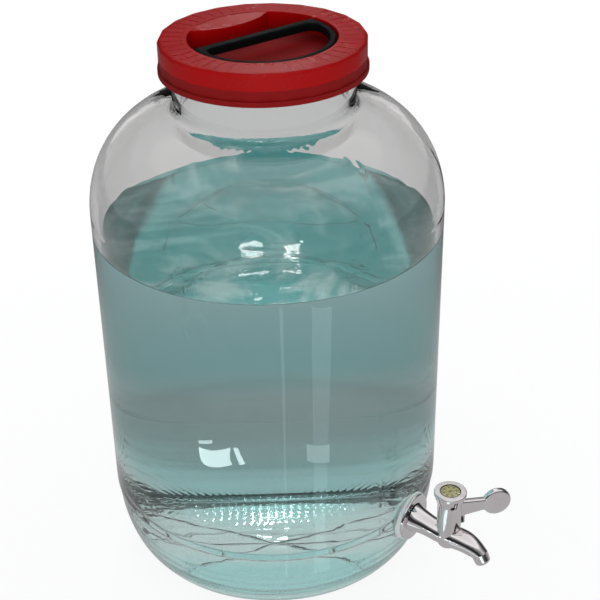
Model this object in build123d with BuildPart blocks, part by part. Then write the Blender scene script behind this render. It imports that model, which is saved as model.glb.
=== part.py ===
from build123d import *

# Clear carboy with a red screw lid, a folding carrying ring and a plated quarter-turn tap.
# Millimetres, +Z up. The origin is the centre of the foot, on the surface the jar stands on.
# The tap points along -Y.

import os
from math import cos, pi, radians, sin, sqrt

# ---------------------------------------------------------------- driving dimensions: jar
BODY_RADIUS = 140.0          # outside of the straight wall
WALL = 6.0                   # wall of the body, the shoulder and the neck
FOOT_RADIUS = 102.0          # outer edge of the bearing ring
FOOT_RING_WIDTH = 9.0
PUSH_UP = 5.0                # height of the hollow under the base
BASE_THICKNESS = 7.5
HEEL_HEIGHT = 93.5
HEEL_SQUARENESS = 2.57       # exponent of the heel's superellipse, 2 is a plain ellipse
HEEL_POINTS = 9
SHOULDER_START = 319.8       # top of the straight wall
SHOULDER_RISE = 80.5
NECK_RADIUS = 70.4
NECK_HEIGHT = 49.0           # top of the shoulder's curve to the rim
NECK_FILLET = 5.0
RIM_ROUNDING = 1.6
WATER_LEVEL = 301.0

# ---------------------------------------------------------------- driving dimensions: thread
THREAD_PITCH = 8.0
THREAD_HEIGHT = 3.2
THREAD_TURNS = 1.75
THREAD_ROOT_WIDTH = 3.6
THREAD_CREST_WIDTH = 1.5
THREAD_CLEARANCE = 0.8       # between a crest and the root it faces
THREAD_SINK = 0.4            # how far a ridge reaches into the wall that carries it
THREAD_TOP_DROP = 3.6        # rim to the centre of the highest turn of the neck's thread

# ---------------------------------------------------------------- driving dimensions: lid
LID_SKIRT = 24.6             # height of the skirt
LID_FACETS = 22
LID_WALL = 3.5               # thread clearance to the middle of a facet
LID_PLATE = 3.0
LID_EDGE_ROUNDING = 2.6
LID_BEAD_HEIGHT = 4.0
LID_BEAD_STAND = 0.9         # the bead stands out this far past the facets
LID_GROOVE_START = 2.7       # recess to the inner ends of the grooves
LID_GROOVE_STOP = 2.3        # outer ends of the grooves to the facets
LID_GROOVES = 44
LID_GROOVE_WIDTH = 2.4
LID_GROOVE_DEPTH = 0.8
RECESS_SIDE_GAP = 4.8        # recess wall to the neck's bore
RECESS_DEPTH = 14.0
RECESS_WALL = 2.8
LEDGE_RADIUS = 70.0          # curved edge of the ledge behind the handle
LEDGE_OFFSET = 34.5          # lid axis to the nearest point of that edge
LEDGE_DROP = 0.8
SEAL_THICKNESS = 2.0
SEAL_OVERHANG = 2.4          # past the rim, outwards
SEAL_INSET = 1.0             # past the rim, inwards

# ---------------------------------------------------------------- driving dimensions: handle
HANDLE_ANGLE = -18.5         # direction of the handle's bar, from +X, degrees
HANDLE_OFFSET = 8.0          # lid axis to the bar's axis
HANDLE_BAR = 7.6             # width of the bar
HANDLE_RING = 5.6            # radial width of the arc
HANDLE_HEIGHT = 7.0
HANDLE_SIDE_GAP = 1.6        # arc to the recess wall
HANDLE_TOP_GAP = 0.6         # below the top of the lid
HANDLE_CORNER = 8.0          # webs in the corners of the ring
HANDLE_ROUNDING = 1.8
PIVOT_RADIUS = 2.5
PIVOT_CLEARANCE = 0.06
PIVOT_REACH = 2.2            # into the recess wall
PIVOT_END_GAP = 0.4
PIVOT_BOSS_WALL = 1.4

# ---------------------------------------------------------------- driving dimensions: tap
TAP_HEIGHT = 62.5            # shank axis above the foot
SHANK_RADIUS = 8.3
SHANK_BORE = 4.5
SHANK_PROUD = 4.0            # past the back nut
HOLE_CLEARANCE = 0.5
OUTER_GASKET_RADIUS = 21.0
OUTER_GASKET = 2.6           # thickness at the tap's axis
INNER_GASKET_RADIUS = 18.0
INNER_GASKET = 3.5
SLIP_WASHER_RADIUS = 16.0
SLIP_WASHER = 1.2
NUT_ACROSS_FLATS = 26.0
NUT_HEIGHT = 7.0
NUT_CHAMFER = 1.2
FIT_GAP = 0.1                # nut and washer over the shank
FLANGE_RADIUS = 20.2
FLANGE_THICKNESS = 2.4
FLANGE_ROUNDING = 1.0
CHAMBER_REACH = 37.0         # wall to the valve axis
CHAMBER_RADIUS = 8.0
CHAMBER_FLOOR = 2.4          # under the plug
CHAMBER_ROUNDING = 2.6
CHAMBER_TOP = 82.0
COLLAR_RADIUS = 9.3
COLLAR_GAP = 0.4             # under the lever's hub
FLOW_HEIGHT = 58.6           # centre of the plug's cross bore
PLUG_RADIUS = 5.15
PLUG_CLEARANCE = 0.05
PLUG_FOOT = 5.4              # cross bore centre to the plug's lower end
PLUG_BORE = 3.6
PLUG_SHOULDER = 77.0
PLUG_END_PLAY = 0.1
STEM_RADIUS = 3.3
STEM_TOP = 99.0
STEM_FLAT = 0.6
SEAL_SECTION = 0.85          # radius of an O-ring's section
SEAL_GROOVE_PLAY = 0.1
SEAL_HEIGHTS = (67.0, 71.5)
GLAND_RADIUS = 6.5
GLAND_SLOT_WIDTH = 1.4
GLAND_SLOT_DEPTH = 1.6
OUTLET_RADIUS = 4.2
OUTLET_LENGTH = 9.0
TUBE_WALL = 2.6

# sections along the tap's curved body: reach from the wall, height, dip of the axis in degrees,
# half width across the tap, half height
TUBE_SECTIONS = (
    (4.9, 62.4, 4.0, 12.6, 12.6),
    (15.5, 60.6, 11.0, 9.7, 9.5),
    (27.0, 58.8, 5.0, 9.2, 8.8),
    (39.0, 58.6, 0.0, 9.7, 9.2),
    (50.0, 59.1, 11.0, 9.7, 9.1),
    (59.0, 56.9, 33.0, 8.7, 8.2),
)
TIP_DIP = 60.0
TIP_REACH = 71.0
TIP_HEIGHT = 45.2
TIP_HALF_WIDTH = 6.3
TIP_ROOT_GROWTH = 0.6        # the tube is this much wider where the tip's straight part starts

# ---------------------------------------------------------------- driving dimensions: lever
LEVER_ANGLE = -41.4          # direction of the lever, from +X, degrees
CAP_RADIUS = 13.3
CAP_TOP = 104.5
CAP_SIDE = 3.0               # height of the cap's upright edge
CAP_TAPER = 9.0              # height of the flare under it
CAP_ROUNDING = 0.8
HUB_RADIUS = 9.9
HUB_BOTTOM = 68.8
HUB_WALL = 1.3
HUB_WEB = 14.0               # solid part that grips the stem
STEM_FIT = 0.03
STEM_TOP_GAP = 0.5
LEVER_REACH = 52.5           # valve axis to the lever's tip
LEVER_MID = 86.2             # height of the lever's centre line
LEVER_ROOT_HEIGHT = 15.4
LEVER_WAIST_HEIGHT = 8.6
LEVER_WEB_REACH = 13.2       # valve axis to the edge of the web under the lever's root
LEVER_WEB_BOTTOM = 70.5
PADDLE_RADIUS = 12.0
PADDLE_FILLET = 3.5
LEVER_THICKNESS = 5.4
LEVER_ROUNDING = 1.6
BUTTON_RADIUS = 8.6
BUTTON_THICKNESS = 2.0
BUTTON_GAP = 0.1
BUTTON_DROP = 0.5            # below the cap's edge
BUTTON_ROUNDING = 0.6
SCREW_RADIUS = 2.0
SCREW_GAP = 0.05
SCREW_LENGTH = 6.5
SCREW_HEIGHT = 94.2
SCREW_TURN = -96.0           # from the lever, degrees
SCREW_SOCKET = 1.1
SCREW_SOCKET_DEPTH = 2.2

# ---------------------------------------------------------------- worked-out places
INNER_RADIUS = BODY_RADIUS - WALL
NECK_BORE = NECK_RADIUS - WALL
SHOULDER_END = SHOULDER_START + SHOULDER_RISE
RIM_HEIGHT = SHOULDER_END + NECK_HEIGHT
LID_UNDERSIDE = RIM_HEIGHT + SEAL_THICKNESS
LID_TOP = LID_UNDERSIDE + LID_PLATE
LID_BOTTOM = LID_TOP - LID_SKIRT
LID_BORE = NECK_RADIUS + THREAD_HEIGHT + THREAD_CLEARANCE
LID_FLAT_RADIUS = LID_BORE + LID_WALL
LID_RADIUS = LID_FLAT_RADIUS / cos(pi / LID_FACETS)
RECESS_RADIUS = NECK_BORE - RECESS_WALL - RECESS_SIDE_GAP
LID_RIBS_INNER = RECESS_RADIUS + LID_GROOVE_START
LID_RIBS_OUTER = LID_FLAT_RADIUS - LID_GROOVE_STOP
LID_FACET_TURN = 180 / LID_GROOVES
LID_THREAD_LEAD = 180.0      # half a turn on, so the lid's ridge lies between the neck's turns
LID_THREAD_TURNS = THREAD_TURNS - 0.25
RECESS_FLOOR = LID_TOP - RECESS_DEPTH
HANDLE_RADIUS = RECESS_RADIUS - HANDLE_SIDE_GAP
HANDLE_TOP = LID_TOP - HANDLE_TOP_GAP
HANDLE_AXIS_HEIGHT = HANDLE_TOP - HANDLE_HEIGHT / 2
HALF_CHORD = sqrt(RECESS_RADIUS**2 - HANDLE_OFFSET**2)
PIVOT_BORE = PIVOT_RADIUS + PIVOT_CLEARANCE
PIVOT_END = HALF_CHORD + PIVOT_REACH
LEDGE_CENTRE = LEDGE_OFFSET + LEDGE_RADIUS


def superellipse(centre_r, centre_z, half_width, half_height, squareness, step):
    """Point on the lower outer quarter of a superellipse; step runs from 0 (bottom) to 1 (side)."""
    angle = step * pi / 2
    power = 2 / squareness
    return (
        centre_r + half_width * sin(angle) ** power,
        centre_z - half_height * cos(angle) ** power,
    )


def heel_points(inset, floor):
    """Points up the heel, from the foot to the straight wall, inset from the outside."""
    half_width = BODY_RADIUS - FOOT_RADIUS
    return [
        superellipse(
            FOOT_RADIUS - inset, HEEL_HEIGHT, half_width, HEEL_HEIGHT - floor,
            HEEL_SQUARENESS, step / (HEEL_POINTS - 1),
        )
        for step in range(HEEL_POINTS)
    ]


def heel_radius_at(height, inset, floor):
    """Radius of the heel or the straight wall at a height, inset from the outside."""
    rise = max(0, HEEL_HEIGHT - height) / (HEEL_HEIGHT - floor)
    swell = (1 - rise**HEEL_SQUARENESS) ** (1 / HEEL_SQUARENESS)
    return FOOT_RADIUS - inset + (BODY_RADIUS - FOOT_RADIUS) * swell


def lid_plane(height):
    """Work plane in the lid, its X axis along the handle's bar."""
    turn = radians(HANDLE_ANGLE)
    return Plane(origin=(0, 0, height), x_dir=(cos(turn), sin(turn), 0), z_dir=(0, 0, 1))


def pivot_plane():
    """Work plane across the handle's bar at the bar's middle; its normal runs along the bar."""
    turn = radians(HANDLE_ANGLE)
    middle = (-HANDLE_OFFSET * sin(turn), HANDLE_OFFSET * cos(turn), HANDLE_AXIS_HEIGHT)
    return Plane(origin=middle, x_dir=(0, 0, 1), z_dir=(cos(turn), sin(turn), 0))


def tap_plane(reach, height=TAP_HEIGHT, dip=0.0):
    """Work plane across the tap: reach is measured from the wall, dip tips its normal down."""
    fall = radians(dip)
    return Plane(
        origin=(0, -WALL_AT_TAP - reach, height),
        x_dir=(1, 0, 0),
        z_dir=(0, -cos(fall), -sin(fall)),
    )


def valve_plane(height):
    """Horizontal work plane centred on the valve axis, its X axis along the lever."""
    turn = radians(LEVER_ANGLE)
    return Plane(
        origin=(0, -WALL_AT_TAP - CHAMBER_REACH, height),
        x_dir=(cos(turn), sin(turn), 0),
        z_dir=(0, 0, 1),
    )


def ridge(radius, inward, start_height, turns, start_angle):
    """One helical thread ridge on a wall of the given radius, standing inwards or outwards."""
    side = -1 if inward else 1
    root = radius - side * THREAD_SINK
    crest = radius + side * THREAD_HEIGHT
    path = Helix(pitch=THREAD_PITCH, height=THREAD_PITCH * turns, radius=radius,
                 center=(0, 0, start_height))
    with BuildPart(mode=Mode.PRIVATE) as thread:
        with BuildSketch(Plane.XZ):
            with BuildLine():
                Polyline(
                    (root, start_height - THREAD_ROOT_WIDTH / 2),
                    (crest, start_height - THREAD_CREST_WIDTH / 2),
                    (crest, start_height + THREAD_CREST_WIDTH / 2),
                    (root, start_height + THREAD_ROOT_WIDTH / 2),
                    close=True,
                )
            make_face()
        sweep(path=path, is_frenet=True)
    return thread.part.rotate(Axis.Z, start_angle)


# ================================================================ jar
WALL_AT_TAP = heel_radius_at(TAP_HEIGHT, 0, 0)
THREAD_TOP = RIM_HEIGHT - THREAD_TOP_DROP
THREAD_START = THREAD_TOP - THREAD_PITCH * THREAD_TURNS

with BuildPart() as vessel_blank:
    with BuildSketch(Plane.XZ):
        with BuildLine():
            outer = heel_points(0, 0)
            foot = Line((FOOT_RADIUS - FOOT_RING_WIDTH, 0), outer[0])
            Spline(*outer, tangents=[(1, 0), (0, 1)])
            Line(outer[-1], (BODY_RADIUS, SHOULDER_START))
            EllipticalCenterArc(
                (NECK_RADIUS, SHOULDER_START),
                BODY_RADIUS - NECK_RADIUS, SHOULDER_RISE, 0, arc_size=90,
            )
            Line((NECK_RADIUS, SHOULDER_END), (NECK_RADIUS, RIM_HEIGHT))
            Line((NECK_RADIUS, RIM_HEIGHT), (0, RIM_HEIGHT))
            Line((0, RIM_HEIGHT), (0, PUSH_UP))
            TangentArc((0, PUSH_UP), foot @ 0, tangent=(1, 0))
        make_face()
    revolve(axis=Axis.Z)
    shoulder_edge = edges().filter_by(GeomType.CIRCLE).filter_by_position(
        Axis.Z, SHOULDER_END - 0.1, SHOULDER_END + 0.1
    )
    fillet(shoulder_edge, NECK_FILLET)

with BuildPart() as vessel_cavity:
    with BuildSketch(Plane.XZ):
        with BuildLine():
            inner = heel_points(WALL, BASE_THICKNESS)
            Line((0, BASE_THICKNESS + PUSH_UP), (0, RIM_HEIGHT))
            Line((0, RIM_HEIGHT), (NECK_BORE, RIM_HEIGHT))
            Line((NECK_BORE, RIM_HEIGHT), (NECK_BORE, SHOULDER_END - WALL))
            EllipticalCenterArc(
                (NECK_BORE, SHOULDER_START),
                INNER_RADIUS - NECK_BORE, SHOULDER_RISE - WALL, 0, arc_size=90,
            )
            Line((INNER_RADIUS, SHOULDER_START), inner[-1])
            Spline(*inner, tangents=[(1, 0), (0, 1)])
            TangentArc((0, BASE_THICKNESS + PUSH_UP), inner[0], tangent=(1, 0))
        make_face()
    revolve(axis=Axis.Z)
    throat_edge = edges().filter_by(GeomType.CIRCLE).filter_by_position(
        Axis.Z, SHOULDER_END - WALL - 0.1, SHOULDER_END - WALL + 0.1
    )
    fillet(throat_edge, NECK_FILLET + WALL)

with BuildPart() as jar:
    add(vessel_blank.part)
    add(vessel_cavity.part, mode=Mode.SUBTRACT)
    rim_edges = edges().filter_by(GeomType.CIRCLE).filter_by_position(
        Axis.Z, RIM_HEIGHT - 0.1, RIM_HEIGHT + 0.1
    )
    fillet(rim_edges, RIM_ROUNDING)
    add(ridge(NECK_RADIUS, False, THREAD_START, THREAD_TURNS, 0))
    with BuildSketch(Plane(origin=(0, 0, TAP_HEIGHT), z_dir=(0, -1, 0))):
        Circle(SHANK_RADIUS + HOLE_CLEARANCE)
    extrude(amount=BODY_RADIUS + WALL, mode=Mode.SUBTRACT)


# ================================================================ lid


def recess_outline(grow):
    """Draw the plan of the lid's recess, made larger all round, in the current sketch."""
    Circle(RECESS_RADIUS + grow)
    with Locations((0, LEDGE_CENTRE)):
        Circle(LEDGE_RADIUS - grow, mode=Mode.SUBTRACT)


with BuildPart() as lid:
    with BuildSketch(lid_plane(LID_BOTTOM)):
        RegularPolygon(LID_RADIUS, LID_FACETS)
    extrude(amount=LID_SKIRT)
    fillet(edges().group_by(Axis.Z)[-1], LID_EDGE_ROUNDING)
    with BuildSketch(lid_plane(LID_BOTTOM)):
        Circle(LID_RADIUS + LID_BEAD_STAND)
    extrude(amount=LID_BEAD_HEIGHT)
    with BuildSketch(lid_plane(LID_BOTTOM)):
        Circle(LID_BORE)
    extrude(amount=LID_UNDERSIDE - LID_BOTTOM, mode=Mode.SUBTRACT)
    with BuildSketch(lid_plane(RECESS_FLOOR - RECESS_WALL)):
        recess_outline(RECESS_WALL)
    extrude(amount=LID_UNDERSIDE - RECESS_FLOOR + RECESS_WALL)
    with BuildSketch(pivot_plane()):
        Circle(PIVOT_BORE + PIVOT_BOSS_WALL)
    extrude(amount=PIVOT_END + PIVOT_END_GAP + PIVOT_BOSS_WALL, both=True)
    with BuildSketch(lid_plane(RECESS_FLOOR)):
        recess_outline(0)
    extrude(amount=RECESS_DEPTH, mode=Mode.SUBTRACT)
    with BuildSketch(lid_plane(LID_TOP - LEDGE_DROP)):
        Circle(RECESS_RADIUS)
    extrude(amount=LEDGE_DROP, mode=Mode.SUBTRACT)
    with BuildSketch(pivot_plane()):
        Circle(PIVOT_BORE)
    extrude(amount=PIVOT_END + PIVOT_END_GAP, both=True, mode=Mode.SUBTRACT)
    groove_length = LID_RIBS_OUTER - LID_RIBS_INNER
    with BuildSketch(lid_plane(LID_TOP - LID_GROOVE_DEPTH)):
        with PolarLocations((LID_RIBS_OUTER + LID_RIBS_INNER) / 2, LID_GROOVES, LID_FACET_TURN):
            SlotOverall(groove_length, LID_GROOVE_WIDTH)
    extrude(amount=LID_GROOVE_DEPTH, mode=Mode.SUBTRACT)
    add(ridge(LID_BORE, True, THREAD_START, LID_THREAD_TURNS, LID_THREAD_LEAD))

with BuildPart() as lid_seal:
    with BuildSketch(Plane.XY.offset(RIM_HEIGHT)):
        Circle(NECK_RADIUS + SEAL_OVERHANG)
        Circle(NECK_BORE - SEAL_INSET, mode=Mode.SUBTRACT)
    extrude(amount=SEAL_THICKNESS)

# ================================================================ handle
with BuildPart() as lid_handle:
    bar_back = HANDLE_OFFSET + HANDLE_BAR / 2
    bar_front = HANDLE_OFFSET - HANDLE_BAR / 2
    with BuildSketch(lid_plane(HANDLE_TOP - HANDLE_HEIGHT)):
        Circle(HANDLE_RADIUS)
        with Locations((0, bar_back)):
            Rectangle(2 * HANDLE_RADIUS, 2 * HANDLE_RADIUS, align=(Align.CENTER, Align.MIN),
                      mode=Mode.SUBTRACT)
        with BuildSketch(mode=Mode.SUBTRACT) as opening:
            Circle(HANDLE_RADIUS - HANDLE_RING)
            with Locations((0, bar_front)):
                Rectangle(2 * HANDLE_RADIUS, 2 * HANDLE_RADIUS, align=(Align.CENTER, Align.MIN),
                          mode=Mode.SUBTRACT)
            fillet(opening.vertices(), HANDLE_CORNER)
    extrude(amount=HANDLE_HEIGHT)
    fillet(edges().group_by(Axis.Z)[-1] + edges().group_by(Axis.Z)[0], HANDLE_ROUNDING)
    with BuildSketch(pivot_plane()):
        Circle(PIVOT_RADIUS)
    extrude(amount=PIVOT_END, both=True)

# ================================================================ tap body
INNER_WALL_AT_TAP = heel_radius_at(TAP_HEIGHT, WALL, BASE_THICKNESS)
STACK_START = INNER_WALL_AT_TAP - WALL_AT_TAP - INNER_GASKET
NUT_START = STACK_START - SLIP_WASHER
SHANK_END = NUT_START - NUT_HEIGHT - SHANK_PROUD
FLANGE_FACE = OUTER_GASKET + FLANGE_THICKNESS
CHAMBER_BOTTOM = FLOW_HEIGHT - PLUG_FOOT - CHAMBER_FLOOR
CHAMBER_BORE = PLUG_RADIUS + PLUG_CLEARANCE
TIP_ROOT_REACH = TIP_REACH - OUTLET_LENGTH * cos(radians(TIP_DIP))
TIP_ROOT_HEIGHT = TIP_HEIGHT + OUTLET_LENGTH * sin(radians(TIP_DIP))
GLAND_BORE = STEM_RADIUS + PLUG_CLEARANCE


def tube_blank():
    """Outside of the tap's curved body, from the flange to the root of the tip."""
    root_width = TIP_HALF_WIDTH + TIP_ROOT_GROWTH
    root = (TIP_ROOT_REACH, TIP_ROOT_HEIGHT, TIP_DIP, root_width, root_width)
    with BuildPart(mode=Mode.PRIVATE) as blank:
        for reach, height, dip, half_width, half_height in TUBE_SECTIONS + (root,):
            with BuildSketch(tap_plane(reach, height, dip)):
                Ellipse(half_width, half_height)
        loft()
    return blank.part


def waterway():
    """Cast passage inside the curved body, from the shank's bore to the outlet's bore."""
    root = (TIP_ROOT_REACH, TIP_ROOT_HEIGHT, TIP_DIP, 0, OUTLET_RADIUS + TUBE_WALL)
    with BuildPart(mode=Mode.PRIVATE) as passage:
        for reach, height, dip, _, half_height in TUBE_SECTIONS + (root,):
            with BuildSketch(tap_plane(reach, height, dip)):
                Circle(min(half_height - TUBE_WALL, SHANK_BORE))
        loft()
    return passage.part


with BuildPart() as tap_body:
    add(tube_blank())
    with BuildSketch(tap_plane(TIP_ROOT_REACH, TIP_ROOT_HEIGHT, TIP_DIP)):
        Circle(TIP_HALF_WIDTH + TIP_ROOT_GROWTH)
    with BuildSketch(tap_plane(TIP_REACH, TIP_HEIGHT, TIP_DIP)):
        Circle(TIP_HALF_WIDTH)
    loft()
    with BuildSketch(tap_plane(OUTER_GASKET)):
        Circle(FLANGE_RADIUS)
    extrude(amount=FLANGE_THICKNESS)
    fillet(
        edges().filter_by(GeomType.CIRCLE).filter_by(lambda e: abs(e.radius - FLANGE_RADIUS) < 0.01)
        .sort_by(Axis.Y)[0],
        FLANGE_ROUNDING,
    )
    with BuildSketch(tap_plane(SHANK_END)):
        Circle(SHANK_RADIUS)
    extrude(amount=OUTER_GASKET - SHANK_END + FLANGE_THICKNESS / 2)
    with BuildSketch(valve_plane(CHAMBER_BOTTOM)):
        Circle(CHAMBER_RADIUS)
    extrude(amount=CHAMBER_TOP - CHAMBER_BOTTOM)
    with BuildSketch(valve_plane(FLOW_HEIGHT)):
        Circle(COLLAR_RADIUS)
    extrude(amount=HUB_BOTTOM - COLLAR_GAP - FLOW_HEIGHT)
    fillet(edges().filter_by(GeomType.CIRCLE).group_by(Axis.Z)[0], CHAMBER_ROUNDING)
    with BuildSketch(valve_plane(CHAMBER_BOTTOM + CHAMBER_FLOOR)):
        Circle(CHAMBER_BORE)
    extrude(amount=CHAMBER_TOP - CHAMBER_BOTTOM, mode=Mode.SUBTRACT)
    with BuildSketch(valve_plane(PLUG_SHOULDER)):
        Circle(GLAND_RADIUS + FIT_GAP)
    extrude(amount=CHAMBER_TOP - PLUG_SHOULDER, mode=Mode.SUBTRACT)
    with BuildSketch(tap_plane(SHANK_END)):
        Circle(SHANK_BORE)
    extrude(amount=TUBE_SECTIONS[0][0] - SHANK_END, mode=Mode.SUBTRACT)
    add(waterway(), mode=Mode.SUBTRACT)
    with BuildSketch(tap_plane(TIP_ROOT_REACH, TIP_ROOT_HEIGHT, TIP_DIP)):
        Circle(OUTLET_RADIUS)
    extrude(amount=OUTLET_LENGTH, mode=Mode.SUBTRACT)

# ================================================================ seals and nut on the wall
with BuildPart() as tap_outer_gasket:
    with BuildSketch(tap_plane(OUTER_GASKET)):
        Circle(OUTER_GASKET_RADIUS)
    extrude(amount=-OUTER_GASKET_RADIUS)
    add(vessel_blank.part, mode=Mode.SUBTRACT)
    with BuildSketch(tap_plane(OUTER_GASKET)):
        Circle(SHANK_RADIUS + FIT_GAP)
    extrude(amount=-OUTER_GASKET_RADIUS, mode=Mode.SUBTRACT)

with BuildPart() as tap_inner_gasket:
    with BuildSketch(tap_plane(STACK_START)):
        Circle(INNER_GASKET_RADIUS)
    extrude(amount=INNER_GASKET_RADIUS)
    add(vessel_cavity.part, mode=Mode.INTERSECT)
    with BuildSketch(tap_plane(STACK_START)):
        Circle(SHANK_RADIUS + FIT_GAP)
    extrude(amount=INNER_GASKET_RADIUS, mode=Mode.SUBTRACT)

with BuildPart() as tap_slip_washer:
    with BuildSketch(tap_plane(STACK_START)):
        Circle(SLIP_WASHER_RADIUS)
        Circle(SHANK_RADIUS + FIT_GAP, mode=Mode.SUBTRACT)
    extrude(amount=-SLIP_WASHER)

with BuildPart() as nut_blank:
    with BuildSketch(tap_plane(NUT_START)):
        Circle(NUT_ACROSS_FLATS / sqrt(3))
    extrude(amount=-NUT_HEIGHT)
    chamfer(edges().filter_by(GeomType.CIRCLE), NUT_CHAMFER)

with BuildPart() as tap_back_nut:
    with BuildSketch(tap_plane(NUT_START)):
        RegularPolygon(NUT_ACROSS_FLATS / 2, 6, major_radius=False)
    extrude(amount=-NUT_HEIGHT)
    add(nut_blank.part, mode=Mode.INTERSECT)
    with BuildSketch(tap_plane(NUT_START)):
        Circle(SHANK_RADIUS + FIT_GAP)
    extrude(amount=-NUT_HEIGHT, mode=Mode.SUBTRACT)

# ================================================================ water
with BuildPart() as water:
    with BuildSketch(Plane.XZ):
        with BuildLine():
            wet = heel_points(WALL, BASE_THICKNESS)
            Line((0, BASE_THICKNESS + PUSH_UP), (0, WATER_LEVEL))
            Line((0, WATER_LEVEL), (INNER_RADIUS, WATER_LEVEL))
            Line((INNER_RADIUS, WATER_LEVEL), wet[-1])
            Spline(*wet, tangents=[(1, 0), (0, 1)])
            TangentArc((0, BASE_THICKNESS + PUSH_UP), wet[0], tangent=(1, 0))
        make_face()
    revolve(axis=Axis.Z)
    for drowned in (tap_inner_gasket, tap_slip_washer, tap_back_nut):
        add(drowned.part, mode=Mode.SUBTRACT)
    with BuildSketch(tap_plane(SHANK_END)):
        Circle(SHANK_RADIUS + FIT_GAP)
    extrude(amount=-SHANK_END, mode=Mode.SUBTRACT)

# ================================================================ valve
with BuildPart() as valve_plug:
    with BuildSketch(valve_plane(FLOW_HEIGHT - PLUG_FOOT)):
        Circle(PLUG_RADIUS)
    extrude(amount=PLUG_SHOULDER - PLUG_END_PLAY - FLOW_HEIGHT + PLUG_FOOT)
    with BuildSketch(valve_plane(PLUG_SHOULDER - PLUG_END_PLAY)):
        Circle(STEM_RADIUS)
    extrude(amount=STEM_TOP - PLUG_SHOULDER + PLUG_END_PLAY)
    groove_height = 2 * (SEAL_SECTION + SEAL_GROOVE_PLAY)
    for seal_height in SEAL_HEIGHTS:
        with BuildSketch(valve_plane(seal_height - groove_height / 2)):
            Circle(CHAMBER_BORE)
            Circle(PLUG_RADIUS - 2 * SEAL_SECTION, mode=Mode.SUBTRACT)
        extrude(amount=groove_height, mode=Mode.SUBTRACT)
    with BuildSketch(Plane(origin=valve_plane(FLOW_HEIGHT).origin, z_dir=(1, 0, 0))):
        Circle(PLUG_BORE)
    extrude(amount=2 * PLUG_RADIUS, both=True, mode=Mode.SUBTRACT)
    with BuildSketch(valve_plane(SCREW_HEIGHT - 2 * SCREW_RADIUS)):
        with PolarLocations(STEM_RADIUS - STEM_FLAT, 1, SCREW_TURN):
            Rectangle(2 * STEM_FLAT, 4 * STEM_RADIUS, align=(Align.MIN, Align.CENTER))
    extrude(amount=STEM_TOP - SCREW_HEIGHT + 2 * SCREW_RADIUS, mode=Mode.SUBTRACT)

plug_seals = []
for seal_height in SEAL_HEIGHTS:
    with BuildPart() as plug_seal:
        with BuildSketch(Plane.XZ.offset(WALL_AT_TAP + CHAMBER_REACH)):
            with Locations((PLUG_RADIUS - SEAL_SECTION, seal_height)):
                Circle(SEAL_SECTION)
        revolve(axis=Axis(valve_plane(0).origin, (0, 0, 1)))
    plug_seals.append(plug_seal)

with BuildPart() as tap_gland:
    with BuildSketch(valve_plane(PLUG_SHOULDER)):
        Circle(GLAND_RADIUS)
        Circle(GLAND_BORE, mode=Mode.SUBTRACT)
    extrude(amount=CHAMBER_TOP - PLUG_SHOULDER)
    with BuildSketch(valve_plane(CHAMBER_TOP - GLAND_SLOT_DEPTH)):
        Rectangle(2 * GLAND_RADIUS, GLAND_SLOT_WIDTH)
    extrude(amount=GLAND_SLOT_DEPTH, mode=Mode.SUBTRACT)

# ================================================================ lever
BUTTON_SEAT = CAP_TOP - BUTTON_DROP - BUTTON_THICKNESS
SCREW_INNER = STEM_RADIUS - STEM_FLAT


def screw_plane(reach):
    """Work plane across the set screw; reach is measured out from the valve axis."""
    turn = radians(LEVER_ANGLE + SCREW_TURN)
    centre = valve_plane(SCREW_HEIGHT).origin
    out = Vector(cos(turn), sin(turn), 0)
    return Plane(origin=centre + out * reach, z_dir=out)


def lever_plane():
    """Upright work plane through the valve axis, its X axis along the lever."""
    turn = radians(LEVER_ANGLE)
    return Plane(
        origin=valve_plane(LEVER_MID).origin,
        x_dir=(cos(turn), sin(turn), 0),
        z_dir=(sin(turn), -cos(turn), 0),
    )


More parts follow.
